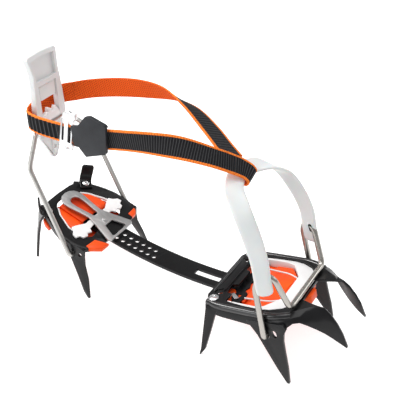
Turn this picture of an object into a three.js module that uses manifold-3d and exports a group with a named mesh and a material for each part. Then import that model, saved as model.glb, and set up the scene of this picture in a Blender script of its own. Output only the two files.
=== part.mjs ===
// A ten-point crampon for the right boot: a front section and a heel section of folded steel,
// joined by a curved linking bar, with anti-snow plates, a toe bail with its plastic harness,
// a heel bail with its lever, and an ankle strap with a buckle and a tag.
// Millimetres. +X points to the toe, +Y to the wearer's left, +Z up. The points stand on Z = 0.

import * as THREE from 'three';
import { mergeVertices } from 'three/addons/utils/BufferGeometryUtils.js';
import Module from 'manifold-3d';

const wasm = await Module();
wasm.setup();

// ---------------------------------------------------------------- driving dimensions

const GAP = 0.3; // clearance left between pieces that touch
const STEEL = 2.2; // thickness of the folded steel sections

// The drawing frame has its origin under the front section's rear rivets.
// Every piece is moved by this shift so that the crampon is centred over the row origin.
const SHIFT = new THREE.Vector3(42.235, 0, 0.13);

const FRONT_PITCH = 13; // degrees, toe end up
const FRONT_ORIGIN = new THREE.Vector3(0, 0, 41.7);
const HEEL_PITCH = -17; // degrees, heel end up
const HEEL_ORIGIN = new THREE.Vector3(-162.5, 0, 56.6);

const BAR = { radius: 345, lowX: -40, lowZ: 31.8, width: 19.6, thickness: 2.4 };
const BAR_HOLES = { perRow: 9, pitch: 6.2, firstX: -72, diameter: 4.2, rowY: 3.65, stagger: 3.0 };
const BAR_SLOT = { rearX: -33.8, frontX: -8.4, width: 6.6 };

const BAIL_WIRE = 4.4; // toe bail wire diameter
const HEEL_WIRE = 4.0; // heel bail wire diameter
const TOE_BAIL_HOLE = { x: 45.6, z: -17.3 }; // in the front section's frame
const HEEL_BAIL_HOLE = { x: 38, z: -10.5 }; // in the heel section's frame
const HEEL_RIVET_Y = 24.4; // in the heel section's frame
const FRONT_RIVET_Y = 30; // in the front section's frame
const LEVER_PIVOT = { x: -168.6, z: 129.3 };

const STRAP_WIDTH = 16;
const STRAP_THICKNESS = 1.6;

// ---------------------------------------------------------------- materials

const painted = (name, color, roughness, metalness) => {
  const material = new THREE.MeshStandardMaterial({ color, roughness, metalness });
  material.name = name;
  return material;
};

const MATERIALS = {
  steel: painted('dark steel', 0x35373a, 0.42, 0.75),
  blackSteel: painted('black steel', 0x17181a, 0.45, 0.6),
  wire: painted('satin wire', 0xb9b6b0, 0.32, 0.95),
  rivet: painted('bright rivet', 0xd8d9da, 0.25, 0.95),
  orange: painted('orange rubber plate', 0xf0471c, 0.5, 0),
  white: painted('white plastic', 0xf1f0ee, 0.45, 0),
  harness: painted('milky plastic', 0xe4e4e2, 0.4, 0),
  lever: painted('pale lever plastic', 0xd9d8d6, 0.42, 0),
  webbing: painted('black webbing', 0x202124, 0.85, 0),
  buckle: painted('bright buckle', 0xd5d6d8, 0.3, 0.9),
  tag: painted('charcoal rubber', 0x33353a, 0.7, 0),
};

// ---------------------------------------------------------------- shape helpers

const vector = (x, y, z) => new THREE.Vector3(x, y, z);
const radians = THREE.MathUtils.degToRad;

function toSolid(geometry) {
  const bare = geometry.clone();
  bare.deleteAttribute('normal');
  bare.deleteAttribute('uv');
  const merged = mergeVertices(bare, 1e-4);
  return new wasm.Manifold(new wasm.Mesh({
    numProp: 3,
    vertProperties: new Float32Array(merged.attributes.position.array),
    triVerts: new Uint32Array(merged.index.array),
  }));
}

function toGeometry(solid) {
  const mesh = solid.getMesh();
  const geometry = new THREE.BufferGeometry();
  geometry.setAttribute('position', new THREE.BufferAttribute(new Float32Array(mesh.vertProperties), 3));
  geometry.setIndex(new THREE.BufferAttribute(new Uint32Array(mesh.triVerts), 1));
  const flat = geometry.toNonIndexed();
  flat.computeVertexNormals();
  return flat;
}

function joinAll(geometries) {
  return geometries.map(toSolid).reduce((whole, next) => whole.add(next));
}

function cutAll(solid, geometries) {
  return geometries.map(toSolid).reduce((rest, next) => rest.subtract(next), solid);
}

function shapeOf(points) {
  return new THREE.Shape(points.map(([x, y]) => new THREE.Vector2(x, y)));
}

// A flat plate with its outline in X and Y, from zLow to zHigh.
function plate(points, zLow, zHigh) {
  const geometry = new THREE.ExtrudeGeometry(shapeOf(points), { depth: zHigh - zLow, bevelEnabled: false });
  return geometry.translate(0, 0, zLow);
}

// An upright plate with its outline in X and Z, from yLow to yHigh.
function uprightPlate(points, yLow, yHigh) {
  const geometry = new THREE.ExtrudeGeometry(shapeOf(points), { depth: yHigh - yLow, bevelEnabled: false });
  return geometry.rotateX(Math.PI / 2).translate(0, yHigh, 0);
}

// A half outline given for y >= 0 from one end of the centre line to the other, made whole.
function mirrored(half) {
  const other = half.filter(([, y]) => y > 0).map(([x, y]) => [x, -y]).reverse();
  return half.concat(other);
}

// A closed skin through rings of points, every ring with the same number of points.
function loft(rings) {
  const around = rings[0].length;
  const geometry = new THREE.CylinderGeometry(1, 1, 1, around, rings.length - 1);
  const position = geometry.attributes.position;
  const centreOf = (ring) => ring.reduce((sum, p) => sum.add(p), vector(0, 0, 0)).divideScalar(around);
  const column = around + 1;
  rings.forEach((ring, row) => {
    for (let k = 0; k < column; k += 1) {
      const p = ring[k % around];
      position.setXYZ(row * column + k, p.x, p.y, p.z);
    }
  });
  let next = rings.length * column;
  [rings[0], rings[rings.length - 1]].forEach((ring) => {
    const centre = centreOf(ring);
    for (let k = 0; k < around; k += 1) position.setXYZ(next + k, centre.x, centre.y, centre.z);
    for (let k = 0; k < column; k += 1) {
      const p = ring[k % around];
      position.setXYZ(next + around + k, p.x, p.y, p.z);
    }
    next += around + column;
  });
  const signed = signedVolume(geometry);
  if (signed < 0) flipFaces(geometry);
  return geometry;
}

function signedVolume(geometry) {
  const position = geometry.attributes.position;
  const index = geometry.index;
  const [a, b, c] = [vector(0, 0, 0), vector(0, 0, 0), vector(0, 0, 0)];
  let volume = 0;
  for (let i = 0; i < index.count; i += 3) {
    a.fromBufferAttribute(position, index.getX(i));
    b.fromBufferAttribute(position, index.getX(i + 1));
    c.fromBufferAttribute(position, index.getX(i + 2));
    volume += a.dot(b.cross(c));
  }
  return volume;
}

function flipFaces(geometry) {
  const index = geometry.index;
  for (let i = 0; i < index.count; i += 3) {
    const first = index.getX(i);
    index.setX(i, index.getX(i + 2));
    index.setX(i + 2, first);
  }
}

// A path of straight stretches with rounded corners.
function roundedPath(points, bend) {
  const path = new THREE.CurvePath();
  let from = points[0];
  for (let i = 1; i < points.length; i += 1) {
    const corner = points[i];
    const last = i === points.length - 1;
    if (last) {
      path.add(new THREE.LineCurve3(from, corner));
      break;
    }
    const inward = points[i - 1].clone().sub(corner);
    const outward = points[i + 1].clone().sub(corner);
    const reach = Math.min(bend, inward.length() * 0.45, outward.length() * 0.45);
    const start = corner.clone().add(inward.setLength(reach));
    const end = corner.clone().add(outward.setLength(reach));
    path.add(new THREE.LineCurve3(from, start));
    path.add(new THREE.QuadraticBezierCurve3(start, corner, end));
    from = end;
  }
  return path;
}

// A round wire along a path.
function wireAlong(path, diameter, steps, sides = 8) {
  const section = new THREE.Shape();
  for (let k = 0; k < sides; k += 1) {
    const angle = (2 * Math.PI * k) / sides;
    const x = (diameter / 2) * Math.cos(angle);
    const y = (diameter / 2) * Math.sin(angle);
    if (k === 0) section.moveTo(x, y);
    else section.lineTo(x, y);
  }
  section.closePath();
  return new THREE.ExtrudeGeometry(section, { steps, extrudePath: path, bevelEnabled: false });
}

// A flat band along a smooth path. widthAt(t) gives the direction across the band,
// sizeAt(t) its width and thickness.
function band(path, widthAt, sizeAt, steps) {
  const rings = [];
  for (let k = 0; k <= steps; k += 1) {
    const t = k / steps;
    const centre = path.getPointAt(t);
    const along = path.getTangentAt(t);
    const across = widthAt(t).clone();
    across.addScaledVector(along, -across.dot(along)).normalize();
    const through = along.clone().cross(across).normalize();
    const [width, thickness] = sizeAt(t);
    const corner = (u, v) => centre.clone()
      .addScaledVector(across, (u * width) / 2).addScaledVector(through, (v * thickness) / 2);
    rings.push([corner(-1, -0.6), corner(-0.92, -1), corner(0.92, -1), corner(1, -0.6),
      corner(1, 0.6), corner(0.92, 1), corner(-0.92, 1), corner(-1, 0.6)]);
  }
  return loft(rings);
}

function rod(from, to, radius, sides = 16) {
  const geometry = new THREE.CylinderGeometry(radius, radius, from.distanceTo(to), sides);
  const turn = new THREE.Quaternion().setFromUnitVectors(vector(0, 1, 0), to.clone().sub(from).normalize());
  const middle = from.clone().add(to).multiplyScalar(0.5);
  return geometry.applyQuaternion(turn).translate(middle.x, middle.y, middle.z);
}

// Value at x along a list of [x, value] pairs.
function along(table, x) {
  if (x <= table[0][0]) return table[0][1];
  for (let i = 1; i < table.length; i += 1) {
    const [x0, v0] = table[i - 1];
    const [x1, v1] = table[i];
    if (x <= x1) return v0 + ((v1 - v0) * (x - x0)) / (x1 - x0);
  }
  return table[table.length - 1][1];
}

// ---------------------------------------------------------------- section frames

function sectionMatrix(pitch, origin) {
  const angle = radians(pitch);
  const forward = vector(Math.cos(angle), 0, Math.sin(angle));
  const upward = vector(-Math.sin(angle), 0, Math.cos(angle));
  return new THREE.Matrix4().makeBasis(forward, vector(0, 1, 0), upward).setPosition(origin);
}

const FRONT = sectionMatrix(FRONT_PITCH, FRONT_ORIGIN);
const HEEL = sectionMatrix(HEEL_PITCH, HEEL_ORIGIN);
const WORLD = new THREE.Matrix4();

// ---------------------------------------------------------------- front section

// How far the flange's upper edge and lower edge stand out from the centre line at each x.
const FRONT_RIDGE = [[-5, 31], [2, 33.6], [9, 34.6], [48, 34.6], [56, 32.5], [63, 28.6], [70, 23.4], [77, 18.8],
  [84, 17.6], [90, 18], [97.4, 18.6]];
const FRONT_HEM = [[-5, 36.6], [2, 38], [9, 38.6], [48, 38.6], [56, 38.2], [63, 36], [70, 31.2], [77, 26.4],
  [84, 22.6], [90, 20.4], [97.4, 19.2]];

function frontTopOutline() {
  const ridge = FRONT_RIDGE.filter(([x]) => x <= 84).map(([x, y]) => [x, y - 0.4]);
  return mirrored([[-7, 0], [-7, 27], ...ridge, [77, 16.2], [70, 14.4], [65, 13], [65, 0]]);
}

const FRONT_WINDOW = mirrored([[10, 0], [10, 30.2], [18, 31.4], [26, 32], [40, 32], [47, 30.6],
  [55, 26.6], [60, 21.2], [62, 16], [62, 0]]);

// The sloping side flange that runs forward into a front point.
function frontBlade(side) {
  const top = [[-5, -0.4], [63, 0], [78, 1.5], [84, -0.4], [88, -4.6], [92, -11.4], [95, -18.6], [97.4, -29.6]];
  const bottom = [[-5, -7], [2, -8.4], [16, -9.9], [30, -9.8], [34, -11], [48, -12], [58, -13], [62, -8.5],
    [66, -5.6], [69, -5.2], [73, -8.6], [81.4, -16.4], [91, -25.8], [97.4, -31]];
  const stations = [-5, 2, 9, 20, 34, 48, 56, 62, 66, 70, 74, 79, 84, 88, 92, 95, 97.4];
  const rings = stations.map((x) => {
    const [ridge, hem, high, low] = [FRONT_RIDGE, FRONT_HEM, top, bottom].map((table) => along(table, x));
    const knee = THREE.MathUtils.lerp(ridge, hem, 0.72);
    const kneeHigh = THREE.MathUtils.lerp(high, low, 0.36);
    return [vector(x, side * ridge, high), vector(x, side * knee, kneeHigh), vector(x, side * hem, low),
      vector(x, side * (hem - STEEL), low), vector(x, side * (knee - STEEL), kneeHigh - 0.6),
      vector(x, side * (ridge - STEEL * 0.7), high - STEEL * 0.6)];
  });
  return loft(rings);
}

function frontMidPoint(side) {
  const outline = [[31, -7], [34, -11.4], [38.5, -18], [44.6, -31], [51.4, -45], [57.6, -56.2], [59.4, -56.2],
    [59.8, -43], [59.2, -30], [59, -20], [60, -13.5], [62.5, -8.6], [60, -5]];
  const geometry = uprightPlate(outline, 38.6 - STEEL, 38.6);
  const position = geometry.attributes.position;
  for (let i = 0; i < position.count; i += 1) {
    const drop = Math.max(0, -9 - position.getZ(i));
    position.setY(i, position.getY(i) + drop * 0.062);
  }
  return side > 0 ? geometry : mirroredGeometry(geometry);
}

// The same shape on the other side of the centre line.
function mirroredGeometry(geometry) {
  const other = geometry.clone().scale(1, -1, 1);
  const position = other.attributes.position;
  for (let i = 0; i < position.count; i += 3) {
    const first = vector(0, 0, 0).fromBufferAttribute(position, i);
    const third = vector(0, 0, 0).fromBufferAttribute(position, i + 2);
    position.setXYZ(i, third.x, third.y, third.z);
    position.setXYZ(i + 2, first.x, first.y, first.z);
  }
  return other;
}

// A point that flares outward, given as rings of x range, y and z.
function flaredPoint(levels, side, thickness) {
  const rings = levels.map(({ rear, front, y, z }) => [
    vector(rear, (y - thickness / 2) * side, z), vector(front, (y - thickness / 2) * side, z),
    vector(front, (y + thickness / 2) * side, z), vector(rear, (y + thickness / 2) * side, z)]);
  return loft(rings);
}

function frontRearPoint(side) {
  return flaredPoint([
    { rear: -3.6, front: 7.4, y: 35.8, z: -3 },
    { rear: -4.4, front: 4.4, y: 38, z: -8.6 },
    { rear: -6.5, front: 0, y: 42.4, z: -22 },
    { rear: -8.6, front: -5, y: 47, z: -36 },
    { rear: -9.9, front: -8.9, y: 48.8, z: -40.4 },
  ], side, STEEL);
}

// The rounded fold between the top plate and the flange.
function foldRoll(table, from, to, z, radius, side) {
  const points = table.filter(([x]) => x >= from && x <= to)
    .map(([x, y]) => vector(x, (y - radius) * side, z - radius));
  return wireAlong(new THREE.CatmullRomCurve3(points), 2 * radius, 14, 10);
}

function frontFrame() {
  const pieces = [plate(frontTopOutline(), -STEEL, 0)];
  [1, -1].forEach((side) => {
    pieces.push(frontBlade(side), frontMidPoint(side), frontRearPoint(side));
  });
  const ridge = plate(mirrored([[-2.5, 0], [-2.5, 20], [1, 22.5], [4.5, 19], [4.5, 0]]), -1, 1.3);
  pieces.push(ridge);
  const frame = joinAll(pieces);
  const cuts = [];
  [1, -1].forEach((side) => {
    const drop = [[-2.6, 22.4 * side], [1.4, 24.6 * side], [3.4, 23.4 * side], [2.8, 17.8 * side]];
    const inner = [[5.2, 14.5 * side], [6, 21 * side], [11, 21 * side], [11, 9 * side], [5.6, 10 * side]];
    cuts.push(plate(side > 0 ? drop : drop.slice().reverse(), -5, 4));
    cuts.push(plate(side > 0 ? inner : inner.slice().reverse(), -5, 4));
    cuts.push(new THREE.CylinderGeometry(2.2 + GAP, 2.2 + GAP, 12, 16)
      .rotateX(Math.PI / 2).translate(0, FRONT_RIVET_Y * side, 0));
    cuts.push(new THREE.CylinderGeometry(BAIL_WIRE / 2 + 0.5, BAIL_WIRE / 2 + 0.5, 12, 16)
      .translate(TOE_BAIL_HOLE.x, 38 * side, TOE_BAIL_HOLE.z));
    cuts.push(new THREE.CylinderGeometry(1.8, 1.8, 12, 14).scale(1, 1, 1.8)
      .rotateY(radians(-12)).translate(52.6, 38 * side, -14.6));
  });
  cuts.push(plate(FRONT_WINDOW, -5, 5));
  return toGeometry(cutAll(frame, cuts));
}

const FRONT_PANEL = mirrored([[26, 0], [26, 25.5], [38.6, 26], [48.6, 13.6], [48.6, 0]]);

function frontAntisnowPlate() {
  const base = mirrored([[10.4, 0], [10.4, 29.6], [18, 30.8], [26, 31.4], [40, 31.4], [46.8, 30],
    [54.4, 26.2], [59.4, 20.8], [61.5, 15.6], [61.5, 0]]);
  const tongue = mirrored([[57, 0], [57, 10], [66.5, 6], [66.5, 0]]);
  return toGeometry(joinAll([
    plate(base, -9.4, -7.6),
    plate(FRONT_PANEL, -8, -3.8),
    plate(tongue, -8.8, -7.8),
    plate(mirrored([[62.4, 0], [62.4, 8.6], [67.4, 4.6], [67.4, 0]]), -8.8, -2.8),
  ]));
}

function frontAntisnowInsert() {
  const outer = mirrored([[15, 0], [15, 30.7], [18, 31], [26, 31.6], [40, 31.6], [46.8, 30.2], [54.6, 26.3],
    [59.6, 20.9], [61.6, 15.7], [61.6, 0]]);
  const inner = mirrored([[8, 0], [8, 28.4], [26, 28.8], [33, 28.8], [40, 26.8], [49.2, 14.1], [49.2, 0]]);
  const ring = toSolid(plate(outer, -7.3, -1.1)).subtract(toSolid(plate(inner, -9, 1)));
  return toGeometry(ring);
}

// ---------------------------------------------------------------- linking bar

const barTop = (x) => BAR.lowZ + BAR.radius - Math.sqrt(BAR.radius ** 2 - (x - BAR.lowX) ** 2);

// The curved strip of the bar, made larger all round by the given margin.
function barStrip(margin = 0, rearEnd = -162) {
  const stations = [];
  for (let x = rearEnd; x <= 2; x += 12) stations.push(x);
  const rings = stations.map((x) => {
    const half = BAR.width / 2 + margin;
    const high = barTop(x) + margin;
    const low = high - BAR.thickness - 2 * margin;
    return [vector(x, half, high), vector(x, -half, high), vector(x, -half, low), vector(x, half, low)];
  });
  return loft(rings);
}

// The front end of the bar steps up and spreads into a T-shaped head inside the front section.
function barHead() {
  const rampEnd = vector(9, 0, -4.6).applyMatrix4(FRONT);
  const rampStart = vector(-7, 0, barTop(-7));
  const half = BAR.width / 2 - 1;
  const ring = (p) => [vector(p.x, half, p.z), vector(p.x, -half, p.z),
    vector(p.x, -half, p.z - BAR.thickness), vector(p.x, half, p.z - BAR.thickness)];
  const ramp = loft([ring(rampStart), ring(rampEnd)]);
  const outline = mirrored([[6.2, 0], [6.2, 9.3], [9.4, 13.5], [8.6, 20], [12.4, 26.6], [16.8, 26.2], [18.8, 18.4],
    [18.6, 12.6], [14.6, 9], [16.6, 4.8], [14.8, 0]]);
  const head = plate(outline, -4.6 - BAR.thickness, -4.6).applyMatrix4(FRONT);
  return joinAll([ramp, head]);
}

function linkingBar() {
  let bar = toSolid(barStrip()).add(barHead());
  const cuts = [];
  for (let row = 0; row < 2; row += 1) {
    const y = row === 0 ? -BAR_HOLES.rowY : BAR_HOLES.rowY;
    for (let k = 0; k < BAR_HOLES.perRow; k += 1) {
      const x = BAR_HOLES.firstX - k * BAR_HOLES.pitch - row * BAR_HOLES.stagger;
      cuts.push(rod(vector(x, y, barTop(x) - 6), vector(x, y, barTop(x) + 4), BAR_HOLES.diameter / 2, 10));
    }
  }
  const slotX = (BAR_SLOT.rearX + BAR_SLOT.frontX) / 2;
  const slotLength = BAR_SLOT.frontX - BAR_SLOT.rearX;
  cuts.push(new THREE.BoxGeometry(slotLength, BAR_SLOT.width, 20).translate(slotX, 0, BAR.lowZ));
  [1, -1].forEach((side) => {
    const hole = [[11.8, 14.4 * side], [15.4, 15 * side], [14.2, 20.2 * side]];
    cuts.push(plate(side > 0 ? hole : hole.slice().reverse(), -10, 0).applyMatrix4(FRONT));
  });
  bar = cutAll(bar, cuts);
  return toGeometry(bar);
}

function barKeeper() {
  return toGeometry(toSolid(plate([[7, -17.8], [13.6, -22.8], [15.6, -20.6], [9, -15.8]], -4.2, -3)));
}

// ---------------------------------------------------------------- rivets

function rivet(headRadius, shankRadius, grip) {
  const bore = 1.1;
  const headHeight = 1.3;
  const profile = [
    [0, headHeight - 0.9], [bore, headHeight - 0.9], [bore, headHeight - 0.4], [bore + 0.4, headHeight],
    [headRadius * 0.7, headHeight * 0.85], [headRadius, 0.3], [headRadius, 0], [shankRadius, 0],
    [shankRadius, -grip], [shankRadius + 0.2, -grip - 0.2], [shankRadius + 0.1, -grip - 0.9], [0, -grip - 0.9],
  ];
  const points = profile.map(([r, z]) => new THREE.Vector2(r, z)).reverse();
  return new THREE.LatheGeometry(points, 16).rotateX(Math.PI / 2);
}

function rivetAt(x, y, z, head, shank, grip) {
  return rivet(head, shank, grip).translate(x, y, z + GAP);
}

// ---------------------------------------------------------------- toe bail and harness

function toeBailPath() {
  const hole = vector(TOE_BAIL_HOLE.x, 0, TOE_BAIL_HOLE.z).applyMatrix4(FRONT);
  const half = [
    vector(hole.x, -34.4, hole.z), vector(hole.x, -41.7, hole.z), vector(37.4, -39.6, 77),
    vector(41, -36, 87), vector(48.8, -33.8, 84.4), vector(60.5, -28.3, 58.7),
  ];
  const points = half.concat(half.slice().reverse().map((p) => vector(p.x, -p.y, p.z)));
  return roundedPath(points, 5);
}

function toeBail() {
  return toGeometry(toSolid(wireAlong(toeBailPath(), BAIL_WIRE, 70, 8)));
}

// A plastic arch. The wire's upper bends pass through a hole near each of its ends.
function toeHarness() {
  const half = [vector(49.4, -36.6, 71.6), vector(45.6, -36.4, 84), vector(40.4, -35.6, 97),
    vector(31.4, -32.4, 112), vector(21, -27.6, 126.4), vector(9.8, -18.2, 135.3), vector(4.4, -8, 138)];
  const apex = vector(3.2, 0, 138.6);
  const points = half.concat([apex], half.slice().reverse().map((p) => vector(p.x, -p.y, p.z)));
  const path = new THREE.CatmullRomCurve3(points, false, 'centripetal');
  const widthAt = (t) => {
    const lean = THREE.MathUtils.smoothstep(Math.abs(t - 0.5), 0.04, 0.3);
    const side = t < 0.5 ? 1 : -1;
    return vector(0.9, 0.55 * lean * side, THREE.MathUtils.lerp(-0.3, 0.45, lean));
  };
  const sizeAt = (t) => {
    const fromEnd = Math.min(t, 1 - t);
    const fullness = THREE.MathUtils.smoothstep(fromEnd, 0.05, 0.25);
    const width = fromEnd < 0.02 ? 9.6 : THREE.MathUtils.lerp(11.6, 13, fullness);
    const thickness = THREE.MathUtils.lerp(3.4, 3, THREE.MathUtils.smoothstep(fromEnd, 0.1, 0.2));
    return [width, thickness];
  };
  const wireHoles = wireAlong(toeBailPath(), BAIL_WIRE + 0.8, 70, 10);
  return toGeometry(cutAll(toSolid(band(path, widthAt, sizeAt, 34)), [wireHoles]));
}

// ---------------------------------------------------------------- heel section

const HEEL_OUTLINE = mirrored([[-10, 0], [-9.4, 14], [-8, 21], [-2, 27.5], [7, 31.6], [15, 34.6], [24, 36.8],
  [37, 37.4], [46, 34], [51, 28], [53.5, 21], [54, 0]]);
const HEEL_SIDE = [[-8, 21], [-2, 27.5], [7, 31.6], [15, 34.6], [24, 36.8], [37, 37.4], [46, 34], [51, 28]];
const HEEL_WINDOW = mirrored([[-4, 0], [-3, 9.5], [0, 14], [7, 19.5], [22, 26], [31, 26.4], [38, 24.6], [42, 20],
  [42, 0]]);

function heelFlange(side) {
  const rings = [-6, -2, 7, 15, 24, 30, 37, 46, 50].map((x) => {
    const outer = along(HEEL_SIDE, x) * side;
    const inner = outer - STEEL * side;
    const low = along([[-6, -3.5], [15, -5.5], [30, -7], [50, -4.5]], x);
    return [vector(x, outer, -0.3), vector(x, inner, -0.3), vector(x, inner, low), vector(x, outer, low)];
  });
  return loft(rings);
}

function heelFrontPoint(side) {
  return flaredPoint([
    { rear: 29, front: 47.5, y: 36, z: -0.5 },
    { rear: 31.6, front: 49, y: 36.2, z: -8 },
    { rear: 37.5, front: 51.5, y: 37, z: -15 },
    { rear: 48, front: 58.6, y: 39.2, z: -25 },
    { rear: 59.2, front: 64.2, y: 41.9, z: -36 },
    { rear: 64.4, front: 65.8, y: 42.6, z: -39.2 },
  ], side, STEEL);
}

// The rear points hang from the back corners and face partly sideways.
function heelRearPoint(side) {
  const across = vector(0.7, 0.714 * side, 0);
  const outward = vector(-0.714, 0.7 * side, 0);
  const centres = [[vector(-5.4, 25 * side, -0.6), 13], [vector(-7.4, 25.4 * side, -10), 11],
    [vector(-7, 24.6 * side, -30), 7.5], [vector(-5.8, 23.4 * side, -52), 3.6],
    [vector(-5.2, 23 * side, -60.4), 1.4]];
  const corners = [[-1, -1], [1, -1], [1, 1], [-1, 1]];
  const rings = centres.map(([centre, width]) => corners.map(([u, v]) => centre.clone()
    .addScaledVector(across, (u * width) / 2).addScaledVector(outward, (v * STEEL) / 2)));
  return loft(rings);
}

// The hole that a heel rivet takes through the plate and the tab's foot.
function heelRivetHole(side) {
  return new THREE.CylinderGeometry(2 + GAP, 2 + GAP, 12, 14).rotateX(Math.PI / 2)
    .translate(0, HEEL_RIVET_Y * side, 0);
}

function heelFrame() {
  const pieces = [plate(HEEL_OUTLINE, -STEEL, 0)];
  [1, -1].forEach((side) => {
    pieces.push(heelFlange(side), heelFrontPoint(side), heelRearPoint(side));
    pieces.push(foldRoll(HEEL_SIDE, -2, 51, 0.2, 1.6, side));
  });
  pieces.push(plate([[42, -12.4], [54, -12.4], [54, 12.4], [42, 12.4]], -1, 1.3));
  const frame = joinAll(pieces);
  const barChannel = barStrip(0.6, -186).applyMatrix4(HEEL.clone().invert());
  const cuts = [plate(HEEL_WINDOW, -6, 5), barChannel];
  [1, -1].forEach((side) => {
    cuts.push(heelRivetHole(side));
    cuts.push(new THREE.CylinderGeometry(HEEL_WIRE / 2 + GAP, HEEL_WIRE / 2 + GAP, 12, 14)
      .translate(HEEL_BAIL_HOLE.x, 36.5 * side, HEEL_BAIL_HOLE.z));
    cuts.push(new THREE.CylinderGeometry(2, 2, 12, 12).translate(44.6, 36.5 * side, -6.8));
  });
  return toGeometry(cutAll(frame, cuts));
}

// A floor under the heel window with three long bulges: one on each side, and a hollow one over the bar.
function heelAntisnowPlate() {
  const floor = mirrored([[-3.4, 0], [-2.4, 9], [0.4, 13.4], [7.2, 18.8], [22, 25.2], [31, 25.6], [37.6, 23.8],
    [41.4, 19.6], [41.4, 0]]);
  const barHalf = BAR.width / 2 + 0.5;
  const wall = 1.4;
  const bridge = mirrored([[1, 0], [1, barHalf + wall], [26, barHalf + wall], [26, 0]]);
  const pieces = [plate(floor, -9.6, -7.8), plate(bridge, -1.6, -0.4)];
  [1, -1].forEach((side) => {
    const turned = (outline) => {
      const placed = outline.map(([x, y]) => [x, y * side]);
      return side > 0 ? placed : placed.reverse();
    };
    const barWall = [[1, barHalf], [26, barHalf], [26, barHalf + wall], [1, barHalf + wall]];
    const sideBulge = [[-1.6, 10.6], [29, 10.6], [29, 24.6], [22, 24.2], [7.2, 17.8], [1, 13]];
    pieces.push(plate(turned(barWall), -9, -0.4));
    pieces.push(plate(turned(sideBulge), -8, -3));
    pieces.push(plate(turned([[-2.2, 18], [-2.2, 27.4], [2.8, 31], [8.4, 32.6], [8.8, 18]]), -9.6, -6.2));
    pieces.push(plate(turned([[34, 12], [51.6, 12], [53.4, 14], [41, 26], [34, 26.4]]), -11.4, -8.6));
    pieces.push(plate(turned([[44, 12], [51.6, 12], [53.4, 14], [42, 25], [40, 23]]), -9, -4));
  });
  return toGeometry(joinAll(pieces));
}

// A white toothed half of the band that crosses the heel window under the clip.
function heelAntisnowCorner(side) {
  const seam = GAP / 2;
  const outline = [[29.5, seam], [30, 13], [25.6, 21.4], [24.6, 25], [28, 27], [30.6, 30.6], [34.4, 31.2],
    [35.6, 27.4], [38.8, 26.6], [40, 22.4], [37.6, 20.4], [39.6, 16.6], [36, 14.8], [35.2, 8], [36, seam]];
  const placed = outline.map(([x, y]) => [x, y * side]);
  return toGeometry(toSolid(plate(side > 0 ? placed.reverse() : placed, GAP, 1.9)));
}

function heelTab(side) {
  const across = vector(0.7, 0.714 * side, 0);
  const path = new THREE.CatmullRomCurve3([
    vector(3.4, 21.4 * side, 1.3), vector(0, 24.4 * side, 1.3), vector(-2.6, 27 * side, 1.4),
    vector(-4.4, 29.4 * side, 3.6), vector(-5.2, 31 * side, 8), vector(-6, 32.4 * side, 15),
  ]);
  const body = toSolid(band(path, () => across, (t) => [t > 0.97 ? 8.6 : 10.6, 1.6], 14));
  return toGeometry(cutAll(body, [heelRivetHole(side)]));
}

// ---------------------------------------------------------------- size adjuster clip

function adjusterClip() {
  const outer = mirrored([[-4, 0], [-3.2, 4.6], [-0.4, 8.4], [4, 10.4], [10, 10.2], [20, 8.4], [29, 7.4],
    [35, 9], [55, 16], [58, 14.4], [58, 0]]);
  const slot = mirrored([[3.8, 0], [5, 3.4], [8, 5], [14, 4.8], [24, 3.4], [30, 2.6], [31.4, 0]]);
  const window = mirrored([[43.8, 0], [43.8, 4.8], [54.6, 9], [56, 7.6], [56, 0]]);
  const low = 2.3;
  const clip = toSolid(plate(outer, low, low + 1.7));
  const pin = new THREE.CylinderGeometry(1.9, 2.3, 1.4, 14).rotateX(Math.PI / 2).translate(39.6, 0, low + 2.2);
  const tooth = new THREE.CylinderGeometry(1.5, 1.5, 2.4, 12).rotateX(Math.PI / 2)
    .translate(39.6, 0, low - 0.9);
  const cut = cutAll(clip, [plate(slot, 0, 8), plate(window, 0, 8)]);
  return toGeometry(cut.add(toSolid(pin)).add(toSolid(tooth)));
}

// ---------------------------------------------------------------- heel bail and lever

function heelBail() {
  const hole = vector(HEEL_BAIL_HOLE.x, 0, HEEL_BAIL_HOLE.z).applyMatrix4(HEEL);
  const half = [vector(hole.x, -33.2, hole.z), vector(hole.x, -40.6, hole.z), vector(-162, -38.6, 107.6),
    vector(LEVER_PIVOT.x, -20, LEVER_PIVOT.z - 2)];
  const pivot = vector(LEVER_PIVOT.x, -14, LEVER_PIVOT.z);
  const points = half.concat([pivot], [vector(pivot.x, 14, pivot.z)],
    half.slice().reverse().map((p) => vector(p.x, -p.y, p.z)));
  return toGeometry(toSolid(wireAlong(roundedPath(points, 4), HEEL_WIRE, 84, 8)));
}

// The lever's own frame: u across, v up from the pivot. It leans back a little and is dished.
function leverPoint(u, v, depth) {
  const lean = 0.0036 * Math.max(0, v - 30) ** 2;
  return vector(LEVER_PIVOT.x - 1.2 - lean + depth, u, LEVER_PIVOT.z + v);
}

// A piece of the lever: outline across and up, from one depth to another, bent to the lever's curve.
function leverPiece(points, depthLow, depthHigh) {
  const geometry = new THREE.ExtrudeGeometry(shapeOf(points), { depth: depthHigh - depthLow, bevelEnabled: false });
  const position = geometry.attributes.position;
  for (let i = 0; i < position.count; i += 1) {
    const p = leverPoint(position.getX(i), position.getY(i), depthLow + position.getZ(i));
    position.setXYZ(i, p.x, p.y, p.z);
  }
  return geometry;
}

const symmetric = (half) => half.concat(half.filter(([u]) => u > 0).map(([u, v]) => [-u, v]).reverse());

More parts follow.
